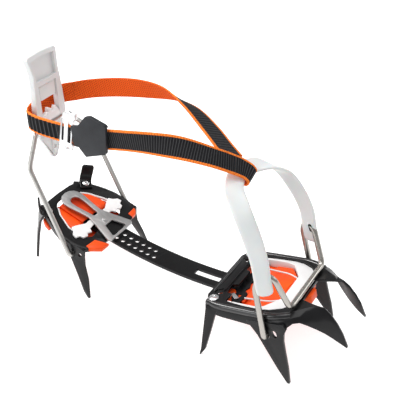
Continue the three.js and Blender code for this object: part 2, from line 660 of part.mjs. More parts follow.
function leverBody() {
  const outline = symmetric([[0, -11], [9, -9], [15.4, -6], [16.6, 0], [16.6, 8], [15.6, 24], [14.6, 34],
    [14, 44], [15, 51], [16.2, 57.4], [14.6, 59.2], [0, 60]]);
  const block = toSolid(leverPiece(outline, -3.4, 1.6));
  const scoop = leverPiece(symmetric([[0, 38], [11.2, 38.6], [11.8, 49], [13, 55.4], [0, 57]]), -1.4, 9);
  const window = leverPiece(symmetric([[0, 2.6], [9.6, 2.6], [10, 34.4], [0, 34.4]]), -20, 20);
  const bore = rod(vector(LEVER_PIVOT.x, -30, LEVER_PIVOT.z), vector(LEVER_PIVOT.x, 30, LEVER_PIVOT.z),
    HEEL_WIRE / 2 + 0.35, 14);
  const bailRelief = [1, -1].map((side) => new THREE.BoxGeometry(6, 8, 7)
    .translate(LEVER_PIVOT.x, 17 * side, LEVER_PIVOT.z - 1));
  return toGeometry(cutAll(block, [scoop, window, bore, ...bailRelief]));
}

function leverPanel() {
  const face = leverPiece(symmetric([[0, 21.6], [8.6, 21.6], [9, 33.8], [0, 33.8]]), -2.8, 0.4);
  return toGeometry(toSolid(face));
}

function leverCrown() {
  const outline = [[-9.2, 3.2], [9.2, 3.2], [9.2, 6.4], [7.6, 9.6], [5.6, 12.6], [4.2, 9.6], [1, 8.6], [-0.4, 12.8],
    [-2.6, 13.4], [-3.4, 10], [-9.2, 8]];
  return toGeometry(toSolid(leverPiece(outline, -2.4, 2)));
}

function leverClaw() {
  const outline = symmetric([[0, -33], [2.6, -32], [14.2, -9.4], [14.4, -7], [9.1, -9.5], [0, -11.5]]);
  const plateSolid = toSolid(leverPiece(outline, -3.4, 0));
  const rib = toSolid(leverPiece([[-2.3, -29], [2.3, -29], [2.3, -12], [-2.3, -12]], -1.4, 1.2));
  const holeZ = LEVER_PIVOT.z - 22.6;
  const hole = rod(vector(LEVER_PIVOT.x - 12, 0, holeZ), vector(LEVER_PIVOT.x + 6, 0, holeZ), 1.6, 12);
  return toGeometry(plateSolid.add(rib).subtract(toSolid(hole)));
}

// ---------------------------------------------------------------- ankle strap

const upright = () => vector(0, 0, 1);

function strapBand(points, widthAt, steps, width = STRAP_WIDTH) {
  const path = new THREE.CatmullRomCurve3(points, false, 'centripetal');
  return toGeometry(toSolid(band(path, widthAt, () => [width, STRAP_THICKNESS], steps)));
}

// From the buckle round the back of the lever.
function strapHeelLoop() {
  return strapBand([
    vector(-137, -27.4, 142.4), vector(-148, -26.2, 141.2), vector(-163, -24, 139.8), vector(-174.2, -19.8, 139.2),
    vector(-178.6, -11, 140), vector(-179, 0, 141.2), vector(-178.2, 11, 143), vector(-172.6, 19.8, 145.4),
    vector(-163, 24, 148),
  ], upright, 26);
}

// From the lever along the far side of the ankle and down to the toe harness.
function strapFarRun() {
  const widthAt = (t) => {
    const flat = THREE.MathUtils.smoothstep(t, 0.42, 0.9);
    return vector(-0.2 * flat, -0.95 * flat, 1 - 0.86 * flat);
  };
  return strapBand([
    vector(-162.4, 24.3, 148.2), vector(-150, 29, 151.4), vector(-128, 33.6, 156), vector(-104, 35.4, 160),
    vector(-78, 34.6, 162), vector(-56, 29.6, 159), vector(-34, 20.4, 152), vector(-15, 9.4, 146.4),
    vector(-5, 3, 144.4),
  ], widthAt, 36);
}

// From the tag along the near side of the ankle.
function strapNearRun() {
  const widthAt = (t) => {
    const flat = THREE.MathUtils.smoothstep(t, 0.45, 1);
    return vector(-0.1 * flat, 0.95 * flat, 1 - 0.78 * flat);
  };
  return strapBand([
    vector(-113.6, -30.6, 147), vector(-96, -32.4, 150.8), vector(-70, -34, 157.4), vector(-48, -33.4, 161.4),
    vector(-27, -28.4, 161.4), vector(-8, -17.6, 154.6), vector(2.2, -7.2, 146.8),
  ], widthAt, 30);
}

// The loop that folds round the harness.
function strapToeLoop() {
  return strapBand([
    vector(2.6, -6.6, 146.2), vector(6.6, -3, 143), vector(10.8, -0.8, 139), vector(12.8, 0, 135.2),
    vector(11.2, 0.3, 132.4), vector(7.6, 0.6, 132.2), vector(3.4, 1, 133.4),
  ], () => vector(-0.1, 0.95, 0.1), 22);
}

function strapBuckle() {
  const outline = [[-7.8, -12.2], [-4.9, -15.6], [1, -14.6], [5.7, -13.4], [6.6, -9.6], [4.8, -8.4], [5.6, 9.2],
    [7.9, 11.4], [6.9, 15.4], [2.6, 14.4], [-0.6, 15.8], [-5.6, 12.4], [-7, 8]];
  const slots = [
    [[-5.6, -8.6], [-3.4, -8.6], [-3.4, 8.6], [-5.6, 8.6]],
    [[0.6, -8.6], [3.8, -8.6], [3.8, 8.6], [0.6, 8.6]],
    [[0.6, -13.6], [2.8, -13], [2.8, -11.6], [0.6, -12.2]],
  ];
  const body = toSolid(new THREE.ExtrudeGeometry(shapeOf(outline), { depth: 2.6, bevelEnabled: false }));
  const holes = slots.map((slot) => new THREE.ExtrudeGeometry(shapeOf(slot), { depth: 8, bevelEnabled: false })
    .translate(0, 0, -3));
  return toGeometry(cutAll(body, holes)).applyMatrix4(strapSide(-125.1, -29.2, 147.4, -0.6, 0, 0.2));
}

// Places a piece drawn in its own plane on the near side of the strap, facing outward.
// climb is how fast the strap rises towards the toe, and lean tips the piece's top inward.
function strapSide(x, y, z, outward, climb, lean) {
  const lengthwise = vector(0.985, -0.11, climb);
  const facing = vector(-0.11, -1, lean).normalize();
  lengthwise.addScaledVector(facing, -lengthwise.dot(facing)).normalize();
  const up = lengthwise.clone().cross(facing).multiplyScalar(-1).normalize();
  const matrix = new THREE.Matrix4().makeBasis(lengthwise, up, facing);
  return matrix.setPosition(vector(x, y, z).addScaledVector(facing, outward));
}

function strapTag() {
  const outline = [[-9.4, -7], [-5, -6.8], [1, -13.5], [21.6, -7.4], [23.4, -5.7], [27.4, 14.4], [26, 16],
    [12, 20], [7.8, 19.2], [-1.6, 10.8], [-9.4, 9.3]];
  const body = toSolid(new THREE.ExtrudeGeometry(shapeOf(outline), { depth: 3.2, bevelEnabled: false }));
  const sleeve = toSolid(new THREE.BoxGeometry(60, 23, STRAP_THICKNESS + 0.9).translate(10, 2.6, -0.2));
  return toGeometry(body.subtract(sleeve)).applyMatrix4(strapSide(-108, -31.6, 147.4, 0.6, 0.13, 0));
}

// ---------------------------------------------------------------- assembly

const crampon = new THREE.Group();
crampon.name = 'crampon';

function addPiece(name, geometry, material, frame = WORLD) {
  const placed = geometry.clone().applyMatrix4(frame).translate(SHIFT.x, SHIFT.y, SHIFT.z);
  const mesh = new THREE.Mesh(placed, material);
  mesh.name = name;
  crampon.add(mesh);
}

addPiece('front_frame', frontFrame(), MATERIALS.steel, FRONT);
addPiece('front_rivet_left', rivetAt(0, FRONT_RIVET_Y, 0, 4, 2.2, 3), MATERIALS.rivet, FRONT);
addPiece('front_rivet_right', rivetAt(0, -FRONT_RIVET_Y, 0, 4, 2.2, 3), MATERIALS.rivet, FRONT);
addPiece('front_antisnow_plate', frontAntisnowPlate(), MATERIALS.orange, FRONT);
addPiece('front_antisnow_insert', frontAntisnowInsert(), MATERIALS.white, FRONT);
addPiece('linking_bar', linkingBar(), MATERIALS.blackSteel);
addPiece('bar_keeper', barKeeper(), MATERIALS.rivet, FRONT);
addPiece('toe_bail', toeBail(), MATERIALS.wire);
addPiece('toe_harness', toeHarness(), MATERIALS.harness);
addPiece('heel_frame', heelFrame(), MATERIALS.steel, HEEL);
addPiece('heel_antisnow_plate', heelAntisnowPlate(), MATERIALS.orange, HEEL);
addPiece('heel_antisnow_corner_left', heelAntisnowCorner(1), MATERIALS.white, HEEL);
addPiece('heel_antisnow_corner_right', heelAntisnowCorner(-1), MATERIALS.white, HEEL);
addPiece('heel_tab_left', heelTab(1), MATERIALS.blackSteel, HEEL);
addPiece('heel_tab_right', heelTab(-1), MATERIALS.blackSteel, HEEL);
addPiece('heel_rivet_left', rivetAt(0, HEEL_RIVET_Y, 2.2, 3.1, 1.9, 5.2), MATERIALS.rivet, HEEL);
addPiece('heel_rivet_right', rivetAt(0, -HEEL_RIVET_Y, 2.2, 3.1, 1.9, 5.2), MATERIALS.rivet, HEEL);
addPiece('adjuster_clip', adjusterClip(), MATERIALS.wire, HEEL);
addPiece('heel_bail', heelBail(), MATERIALS.wire);
addPiece('lever_body', leverBody(), MATERIALS.lever);
addPiece('lever_panel', leverPanel(), MATERIALS.lever);
addPiece('lever_crown', leverCrown(), MATERIALS.white);
addPiece('lever_claw', leverClaw(), MATERIALS.lever);
addPiece('strap_heel_loop', strapHeelLoop(), MATERIALS.webbing);
addPiece('strap_far_run', strapFarRun(), MATERIALS.webbing);
addPiece('strap_near_run', strapNearRun(), MATERIALS.webbing);
addPiece('strap_toe_loop', strapToeLoop(), MATERIALS.webbing);
addPiece('strap_buckle', strapBuckle(), MATERIALS.buckle);
addPiece('strap_tag', strapTag(), MATERIALS.tag);

export default crampon;
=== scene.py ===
"""A ten-point crampon for the right boot, dressed over its CAD frame. Metres, +X to the toe, +Z up."""

import math

import bmesh
import bpy
from mathutils import Matrix, Vector


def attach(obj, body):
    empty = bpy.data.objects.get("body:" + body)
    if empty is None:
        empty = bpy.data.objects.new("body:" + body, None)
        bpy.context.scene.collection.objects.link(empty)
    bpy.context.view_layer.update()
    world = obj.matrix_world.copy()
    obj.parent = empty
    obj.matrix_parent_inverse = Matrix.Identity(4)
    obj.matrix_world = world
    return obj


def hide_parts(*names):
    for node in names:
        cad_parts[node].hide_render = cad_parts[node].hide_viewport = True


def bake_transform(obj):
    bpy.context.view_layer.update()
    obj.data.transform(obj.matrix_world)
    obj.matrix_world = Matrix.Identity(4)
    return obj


MM = 0.001

# The CAD's drawing frame starts under the front rivets. This moves it to the row frame.
ROW_SHIFT = Vector((42.235, 0, 0.13))

FRONT_PITCH = math.radians(13)
FRONT_ORIGIN = Vector((0, 0, 41.7))
HEEL_PITCH = math.radians(-17)
HEEL_ORIGIN = Vector((-162.5, 0, 56.6))

TOE_WIRE = 4.4  # millimetres, like every size below
HEEL_WIRE = 4.0
STRAP_WIDTH = 16.0
STRAP_THICKNESS = 1.6
RIB_PITCH = 1.9  # from one cross rib of the webbing to the next
WIDE_RIB_PITCH = 4.8  # the same, on the right half of the loop round the lever
STEPS_PER_MM = 4.0  # rings of vertices along the webbing
EDGE_CORD = 1.7  # width of the orange edge of the webbing
THREAD_PITCH = 0.9  # from one thread to the next across the ribbed face
TWILL_PITCH = 2.6  # from one slanting line to the next on the orange face
FOLD_DIAMETER = 5.4  # roundness of the folds along the front section
HARNESS_WIDTH = 13.4  # of the toe harness along its arms
HARNESS_END_WIDTH = 12.0
HARNESS_THICKNESS = 2.9
HARNESS_END_THICKNESS = 3.6

WIRE_SIDES = 20
BAIL_STEPS = 260
SHARP_ANGLE = math.radians(38)  # an edge sharper than this stays crisp
BEVEL_ANGLE = math.radians(32)  # an edge sharper than this is softened

LEVER_PIVOT = Vector((-168.6, 0, 129.3))

# The camera stands on this bearing and this far from a point inside the ankle strap.
CAMERA_AZIMUTH = math.radians(31.0)
CAMERA_ELEVATION = math.radians(34.44)
CAMERA_DISTANCE = 553.5
CAMERA_TARGET = Vector((-36.6, 10.95, 93.2))
LENS = 65.0
SENSOR_WIDTH = 36

SIDES = ((-1, "right"), (1, "left"))  # the sign of Y and its word


# ------------------------------------------------------------------ small helpers

def row(point):
    """A point of the drawing frame, in the row frame and in metres."""
    return (Vector(point) + ROW_SHIFT) * MM


def section_matrix(pitch, origin):
    """The frame of a folded steel section: x forward, y left, z up from its plate."""
    forward = Vector((math.cos(pitch), 0, math.sin(pitch)))
    upward = Vector((-math.sin(pitch), 0, math.cos(pitch)))
    matrix = Matrix((forward, Vector((0, 1, 0)), upward)).transposed().to_4x4()
    return Matrix.Translation(origin) @ matrix


FRONT = section_matrix(FRONT_PITCH, FRONT_ORIGIN)
HEEL = section_matrix(HEEL_PITCH, HEEL_ORIGIN)


def smooth(value, low, high):
    """0 below low, 1 above high, and an even step between them."""
    t = min(1.0, max(0.0, (value - low) / (high - low)))
    return t * t * (3 - 2 * t)


def mix(a, b, t):
    """a where t is 0 and b where it is 1."""
    return a + (b - a) * t


def squared_off(wave, power):
    """A sine or cosine pushed outwards, which turns an ellipse into a box with round corners."""
    return math.copysign(abs(wave) ** power, wave)


def curve_through(points, count, before=None, after=None):
    """Evenly spaced points on a smooth curve through the given points.
    before and after are the neighbouring points of a line that it carries on."""
    points = [Vector(p) for p in points]
    first = Vector(before) if before else points[0] * 2 - points[1]
    last = Vector(after) if after else points[-1] * 2 - points[-2]
    points = [first] + points + [last]
    steps = 40
    fine = []
    for i in range(1, len(points) - 2):
        p0, p1, p2, p3 = points[i - 1:i + 3]
        knots = [0.0]
        for a, b in ((p0, p1), (p1, p2), (p2, p3)):
            knots.append(knots[-1] + math.sqrt((b - a).length))
        k0, k1, k2, k3 = knots
        for step in range(steps):
            t = mix(k1, k2, step / steps)
            a1 = p0.lerp(p1, (t - k0) / (k1 - k0))
            a2 = p1.lerp(p2, (t - k1) / (k2 - k1))
            a3 = p2.lerp(p3, (t - k2) / (k3 - k2))
            b1 = a1.lerp(a2, (t - k0) / (k2 - k0))
            b2 = a2.lerp(a3, (t - k1) / (k3 - k1))
            fine.append(b1.lerp(b2, (t - k1) / (k2 - k1)))
    fine.append(points[-2])
    return evenly(fine, count)


def evenly(fine, count):
    """The same line, in equal steps."""
    lengths = [0.0]
    for a, b in zip(fine, fine[1:]):
        lengths.append(lengths[-1] + (b - a).length)
    spaced = []
    place = 0
    for k in range(count + 1):
        target = lengths[-1] * k / count
        while place < len(fine) - 2 and lengths[place + 1] < target:
            place += 1
        span = max(1e-9, lengths[place + 1] - lengths[place])
        spaced.append(fine[place].lerp(fine[place + 1], (target - lengths[place]) / span))
    return spaced


def rounded_corners(points, bend, count):
    """Straight stretches with rounded corners, in equal steps."""
    points = [Vector(p) for p in points]
    steps = 10
    most = 0.45  # the share of a straight stretch that one corner may take
    fine = [points[0]]
    for before, corner, after in zip(points, points[1:], points[2:]):
        inward = before - corner
        outward = after - corner
        reach = min(bend, inward.length * most, outward.length * most)
        start = corner + inward.normalized() * reach
        end = corner + outward.normalized() * reach
        for step in range(steps + 1):
            t = step / steps
            fine.append(start.lerp(corner, t).lerp(corner.lerp(end, t), t))
    fine.append(points[-1])
    return evenly(fine, count)


def tangents(line):
    """The direction of a line at each of its points."""
    result = []
    for k in range(len(line)):
        ahead = line[min(k + 1, len(line) - 1)]
        behind = line[max(k - 1, 0)]
        result.append((ahead - behind).normalized())
    return result


def mesh_object(name, vertices, faces, materials, face_materials=None, uv=None):
    """A mesh object in the row frame from vertices in the drawing frame."""
    mesh = bpy.data.meshes.new(name)
    mesh.from_pydata([row(v) for v in vertices], [], faces)
    for material in materials:
        mesh.materials.append(material)
    if face_materials:
        mesh.polygons.foreach_set("material_index", face_materials)
    if uv:
        layer = mesh.uv_layers.new(name="UVMap")
        for loop in mesh.loops:
            layer.data[loop.index].uv = uv[loop.vertex_index]
    piece = bpy.data.objects.new(name, mesh)
    bpy.context.scene.collection.objects.link(piece)
    mesh.polygons.foreach_set("use_smooth", [True] * len(mesh.polygons))
    mesh.validate()
    mesh.update()
    return piece


def side_faces(ring_count, around):
    """The faces between neighbouring rings of vertices, ring after ring."""
    faces = []
    for start in range(0, (ring_count - 1) * around, around):
        for k in range(around):
            beside = (k + 1) % around
            faces.append((start + k, start + beside, start + around + beside, start + around + k))
    return faces


def skin(rings):
    """Vertices and faces of a closed skin through rings with the same number of points."""
    around = len(rings[0])
    vertices = [p for ring in rings for p in ring]
    faces = side_faces(len(rings), around)
    faces.append(tuple(reversed(range(around))))
    faces.append(tuple((len(rings) - 1) * around + k for k in range(around)))
    return vertices, faces


def fix_normals(piece):
    """Turns every face outwards."""
    work = bmesh.new()
    work.from_mesh(piece.data)
    bmesh.ops.recalc_face_normals(work, faces=work.faces)
    work.to_mesh(piece.data)
    work.free()
    return piece


def wire(name, points, diameter, bend, count, material):
    """A round wire along straight stretches with rounded corners."""
    angles = [2 * math.pi * k / WIRE_SIDES for k in range(WIRE_SIDES)]
    line = rounded_corners(points, bend, count)
    rings = []
    normal = None
    for centre, along in zip(line, tangents(line)):
        if normal is None:
            normal = along.orthogonal().normalized()
        normal = (normal - along * normal.dot(along)).normalized()
        other = along.cross(normal)
        rings.append([centre + (normal * math.cos(a) + other * math.sin(a)) * diameter / 2 for a in angles])
    vertices, faces = skin(rings)
    return fix_normals(mesh_object(name, vertices, faces, [material]))


# ------------------------------------------------------------------ material helpers

# Places of the colour sockets on a Mix node, whose names it uses more than once.
MIX_FACTOR = 0
MIX_LOW = 6
MIX_HIGH = 7
MIX_COLOUR = 2


class Shader:
    """A material being put together from nodes."""

    def __init__(self, name, base, roughness, metallic=0.0, **others):
        """others sets further inputs of the surface, with _ for each space in their names."""
        self.material = bpy.data.materials.new(name)
        self.material.use_nodes = True
        self.tree = self.material.node_tree
        self.surface = self.tree.nodes["Principled BSDF"]
        self.surface.inputs["Base Color"].default_value = (*base, 1)
        self.surface.inputs["Roughness"].default_value = roughness
        self.surface.inputs["Metallic"].default_value = metallic
        for socket, value in others.items():
            self.surface.inputs[socket.replace("_", " ")].default_value = value
        self.normal = None

    def node(self, kind, **settings):
        """A new node. Each setting is one of its inputs or one of its properties."""
        made = self.tree.nodes.new(kind)
        for key, value in settings.items():
            if key in made.inputs.keys():
                made.inputs[key].default_value = value
            else:
                setattr(made, key, value)
        return made

    def link(self, output, target):
        """Joins a node's output to another node's input."""
        self.tree.links.new(output, target)

    def noise(self, scale, detail, stretch=(1, 1, 1)):
        """Noise fixed to the object, drawn out along the axes where stretch is small."""
        source = self.node("ShaderNodeTexCoord")
        mapping = self.node("ShaderNodeMapping", Scale=stretch)
        made = self.node("ShaderNodeTexNoise", Scale=scale, Detail=detail, Roughness=0.55)
        self.link(source.outputs["Object"], mapping.inputs["Vector"])
        self.link(mapping.outputs["Vector"], made.inputs["Vector"])
        return made.outputs["Fac"]

    def along_webbing(self):
        """Where a point lies across and along the webbing: its U and V."""
        source = self.node("ShaderNodeTexCoord")
        split = self.node("ShaderNodeSeparateXYZ")
        self.link(source.outputs["UV"], split.inputs[0])
        return split.outputs["X"], split.outputs["Y"]

    def wave(self, place, pitch):
        """A sine that repeats each time place grows by pitch."""
        return self.math("SINE", self.math("MULTIPLY", place, 2 * math.pi / pitch))

    def ramp(self, value, stops):
        """Colours or greys along a value. stops is [(place, colour), ...]."""
        made = self.node("ShaderNodeValToRGB")
        elements = made.color_ramp.elements
        while len(elements) < len(stops):
            elements.new(0.5)
        for element, (place, colour) in zip(elements, stops):
            element.position = place
            element.color = (*colour, 1) if len(colour) == 3 else (*colour * 3, 1)
        self.link(value, made.inputs["Fac"])
        return made.outputs["Color"]

    def blend(self, value, low, high):
        """low where value is 0 and high where it is 1; each is a colour or a socket."""
        made = self.node("ShaderNodeMix", data_type="RGBA")
        for source, place in ((value, MIX_FACTOR), (low, MIX_LOW), (high, MIX_HIGH)):
            if isinstance(source, bpy.types.NodeSocket):
                self.link(source, made.inputs[place])
            else:
                made.inputs[place].default_value = (*source, 1)
        return made.outputs[MIX_COLOUR]

    def math(self, operation, first, second=0.0):
        """A sum or another operation on two numbers or sockets."""
        made = self.node("ShaderNodeMath", operation=operation)
        for source, target in ((first, made.inputs[0]), (second, made.inputs[1])):
            if isinstance(source, bpy.types.NodeSocket):
                self.link(source, target)
            else:
                target.default_value = source
        return made.outputs[0]

    def bump(self, height, strength, distance):
        """Adds relief on top of what is there already."""
        made = self.node("ShaderNodeBump", Strength=strength, Distance=distance)
        self.link(height, made.inputs["Height"])
        if self.normal is not None:
            self.link(self.normal, made.inputs["Normal"])
        self.normal = made.outputs["Normal"]
        self.link(self.normal, self.surface.inputs["Normal"])

    def edge_mask_wear_and_highlight(self, radius):
        """0 on flat faces, and more towards edges and corners."""
        bevel = self.node("ShaderNodeBevel", samples=6)
        bevel.inputs["Radius"].default_value = radius
        plain = self.node("ShaderNodeNewGeometry")
        dot = self.node("ShaderNodeVectorMath", operation="DOT_PRODUCT")
        self.link(bevel.outputs["Normal"], dot.inputs[0])
        self.link(plain.outputs["Normal"], dot.inputs[1])
        return self.math("SUBTRACT", 1.0, dot.outputs["Value"])

    def set(self, socket, value):
        """Drives one input of the surface."""
        self.link(value, self.surface.inputs[socket])


def coated_steel(name, tones, roughness, edge_radius, coat=0.34):
    """Coated steel: a fine satin texture, faint cloudy streaks, and lighter edges, partly polished by wear
    and partly a painted highlight.
    """
    dark, light, edge_tone_wear_and_highlight = tones
    s = Shader(name, dark, roughness, 0.0, Specular_IOR_Level=0.1, Coat_Weight=coat, Coat_Roughness=0.18)
    cloud = s.noise(48, 5, (1, 1, 1.6))
    base = s.ramp(cloud, [(0.3, dark), (0.75, light)])
    # The edges take the lighter tone, partly for wear of the coating and partly as a painted highlight.
    edges = s.ramp(s.edge_mask_wear_and_highlight(edge_radius), [(0.03, (0,)), (0.3, (1,))])
    s.set("Base Color", s.blend(edges, base, edge_tone_wear_and_highlight))
    s.set("Roughness", s.ramp(cloud, [(0.25, (roughness - 0.06,)), (0.8, (roughness + 0.1,))]))
    s.bump(s.noise(1000, 2), 0.1, 0.0003)
    return s.material


def brushed(name, tone, roughness, stretch, fine=600, contrast=0.14):
    """Bright bare metal with brush lines that run along one axis."""
    s = Shader(name, tone, roughness, 1.0)
    lines = s.noise(fine, 3, stretch)
    dark = tuple(c * (1 - contrast) for c in tone)
    s.set("Base Color", s.ramp(lines, [(0.3, dark), (0.7, tone)]))
    s.set("Roughness", s.ramp(lines, [(0.2, (roughness - 0.06,)), (0.8, (roughness + 0.1,))]))
    s.bump(lines, contrast * 0.7, 0.0002)
    return s.material


def plastic(name, light, dark, roughness, grain, **others):
    """Moulded plastic: slight shading of the colour and a fine spark-eroded grain."""
    s = Shader(name, light, roughness, **others)
    s.set("Base Color", s.ramp(s.noise(38, 3), [(0.3, dark), (0.7, light)]))
    s.set("Roughness", s.ramp(s.noise(160, 3), [(0.3, (roughness - 0.06,)), (0.75, (roughness + 0.08,))]))
    s.bump(s.noise(grain, 2), 0.1, 0.0003)
    return s.material


def webbing_outer():
    """The black ribbed face with its orange edges, and a painted highlight along the tops of its ribs."""
    s = Shader("webbing_outer", (0.008, 0.008, 0.009), 0.85, Specular_IOR_Level=0.2)
    across, along = s.along_webbing()
    from_middle = s.math("ABSOLUTE", s.math("SUBTRACT", across, STRAP_WIDTH / 2))
    edge = s.math("GREATER_THAN", from_middle, STRAP_WIDTH / 2 - EDGE_CORD)
    rib = s.wave(along, RIB_PITCH)
    thread = s.math("MULTIPLY", rib, s.wave(across, THREAD_PITCH))
    fuzz = s.noise(1500, 3)
    # The tops of the ribs are painted a lighter grey: a painted highlight.
    rib_top_highlight = s.ramp(s.math("MULTIPLY", s.math("ADD", rib, 1.0), 0.5), [(0.6, (0,)), (0.97, (1,))])
    black = s.blend(rib_top_highlight, s.ramp(fuzz, [(0.35, (0.004, 0.004, 0.005)), (0.75, (0.01, 0.01, 0.012))]),
                    (0.055, 0.055, 0.058))
    orange = s.ramp(fuzz, [(0.3, (0.72, 0.12, 0.012)), (0.6, (0.95, 0.25, 0.035))])
    s.set("Base Color", s.blend(edge, black, orange))
    s.bump(rib, 0.55, 0.0004)
    s.bump(thread, 0.35, 0.0003)
    return s.material


def webbing_inner():
    """The orange inner face, a fine twill whose troughs are darkened as painted shade."""
    s = Shader("webbing_inner", (0.9, 0.13, 0.01), 0.85, Specular_IOR_Level=0.2)
    across, along = s.along_webbing()
    twill = s.wave(s.math("ADD", s.math("MULTIPLY", across, 1.5), along), TWILL_PITCH)
    weave = s.math("ADD", twill, s.math("MULTIPLY", s.wave(along, RIB_PITCH), 0.5))
    # The troughs of the weave are painted deep red: painted shade.
    shade = s.ramp(s.math("MULTIPLY", s.math("ADD", weave, 1.5), 0.33),
                   [(0.05, (0.42, 0.032, 0.003)), (0.7, (0.92, 0.135, 0.012))])
    s.set("Base Color", shade)
    s.bump(weave, 0.5, 0.0004)
    s.bump(s.noise(1500, 3), 0.3, 0.0002)
    return s.material


def rubber():
    """The tag's dark rubber."""
    s = Shader("charcoal_rubber", (0.014, 0.015, 0.018), 0.5, Specular_IOR_Level=0.22)
    s.set("Base Color", s.ramp(s.noise(90, 4), [(0.3, (0.012, 0.013, 0.016)), (0.7, (0.02, 0.022, 0.026))]))
    s.bump(s.noise(1400, 2), 0.2, 0.0003)
    return s.material


def floor_material():
    """A pale floor that gives off some light of its own, so that it shows white."""
    s = Shader("pale_floor", (0.55, 0.55, 0.55), 0.75, Emission_Strength=0.72)
    s.surface.inputs["Emission Color"].default_value = (1, 1, 1, 1)
    s.set("Base Color", s.ramp(s.noise(14, 3), [(0.3, (0.53, 0.53, 0.53)), (0.7, (0.57, 0.57, 0.57))]))
    return s.material


# The coating in its darker and lighter clouds, and the lighter tone of its edges, partly wear and partly
# painted highlight.
DARK_COATING = ((0.004, 0.004, 0.0045), (0.009, 0.009, 0.01), (0.05, 0.051, 0.054))
BLACK_COATING = ((0.003, 0.003, 0.0035), (0.007, 0.007, 0.008), (0.035, 0.035, 0.038))


def make_materials():
    """Every material of the object, by name."""
    return {
        "dark_steel": coated_steel("dark_steel", DARK_COATING, 0.34, 0.0009),
        "black_steel": coated_steel("black_steel", BLACK_COATING, 0.42, 0.0007),
        "fold_steel": coated_steel("fold_steel", DARK_COATING, 0.3, 0.0009, coat=1.0),
        "satin_wire": brushed("satin_wire", (0.5, 0.49, 0.47), 0.3, (1, 1, 0.08), 300, 0.06),
        "toe_wire": brushed("toe_wire", (0.42, 0.4, 0.37), 0.26, (1, 1, 0.3), 90, 0.03),
        "clip_metal": brushed("clip_metal", (0.5, 0.5, 0.5), 0.46, (0.06, 1, 1)),
        "bright_rivet": brushed("bright_rivet", (0.75, 0.75, 0.76), 0.22, (1, 1, 1), 500),
        "bright_buckle": brushed("bright_buckle", (0.84, 0.85, 0.86), 0.34, (1, 0.1, 1)),
        "orange_plate": plastic("orange_plate", (0.92, 0.1, 0.006), (0.78, 0.06, 0.004), 0.4, 1300,
                                Specular_IOR_Level=0.3),
        # A darker, redder copy of the orange plate, as painted shade for the heel's anti-snow plate, which
        # lies low in the heel window between the bulges.
        "painted_shade_heel_orange": plastic("painted_shade_heel_orange", (0.8, 0.07, 0.005), (0.6, 0.035, 0.003), 0.4, 1300,
                             Specular_IOR_Level=0.3),
        "white_plate": plastic("white_plate", (0.78, 0.78, 0.78), (0.72, 0.72, 0.72), 0.38, 1100),
        "milky_plastic": plastic("milky_plastic", (0.66, 0.69, 0.69), (0.6, 0.63, 0.63), 0.34, 900,
                                 Subsurface_Weight=0.25, Subsurface_Scale=0.004),
        "lever_plastic": plastic("lever_plastic", (0.69, 0.71, 0.71), (0.63, 0.65, 0.65), 0.36, 900,
                                 Subsurface_Weight=0.12, Subsurface_Scale=0.003),
        "webbing_outer": webbing_outer(),
        "webbing_inner": webbing_inner(),
        "charcoal_rubber": rubber(),
    }


# ------------------------------------------------------------------ finishing the CAD pieces

def smooth_by_angle():
    """A modifier tree that shades smooth and keeps sharp edges crisp."""
    tree = bpy.data.node_groups.new("smooth_by_angle", "GeometryNodeTree")
    tree.interface.new_socket("Geometry", in_out="INPUT", socket_type="NodeSocketGeometry")
    tree.interface.new_socket("Geometry", in_out="OUTPUT", socket_type="NodeSocketGeometry")
    start = tree.nodes.new("NodeGroupInput")
    end = tree.nodes.new("NodeGroupOutput")
    all_smooth = tree.nodes.new("GeometryNodeSetShadeSmooth")
    sharp = tree.nodes.new("GeometryNodeSetShadeSmooth")
    sharp.domain = "EDGE"
    sharp.inputs["Shade Smooth"].default_value = False
    angle = tree.nodes.new("GeometryNodeInputMeshEdgeAngle")
    compare = tree.nodes.new("FunctionNodeCompare")
    compare.data_type = "FLOAT"
    compare.operation = "GREATER_THAN"
    compare.inputs["B"].default_value = SHARP_ANGLE
    tree.links.new(start.outputs[0], all_smooth.inputs["Geometry"])
    tree.links.new(all_smooth.outputs["Geometry"], sharp.inputs["Geometry"])
    tree.links.new(angle.outputs["Unsigned Angle"], compare.inputs["A"])
    tree.links.new(compare.outputs["Result"], sharp.inputs["Selection"])
    tree.links.new(sharp.outputs["Geometry"], end.inputs[0])
    return tree


def finish_node(node, material, bevel, smoother):
    """Gives a CAD node its material, soft edges and smooth shading."""
    mesh = node.data
    mesh.materials.clear()
    mesh.materials.append(material)
    if "custom_normal" in mesh.attributes:
        mesh.attributes.remove(mesh.attributes["custom_normal"])
    weld = node.modifiers.new("weld", "WELD")
    weld.merge_threshold = MM / 1000
    if bevel:
        soft = node.modifiers.new("soft edges", "BEVEL")
        soft.width = bevel * MM
        soft.segments = 3
        soft.limit_method = "ANGLE"
        soft.angle_limit = BEVEL_ANGLE
        soft.use_clamp_overlap = True
    shading = node.modifiers.new("shading", "NODES")
    shading.node_group = smoother


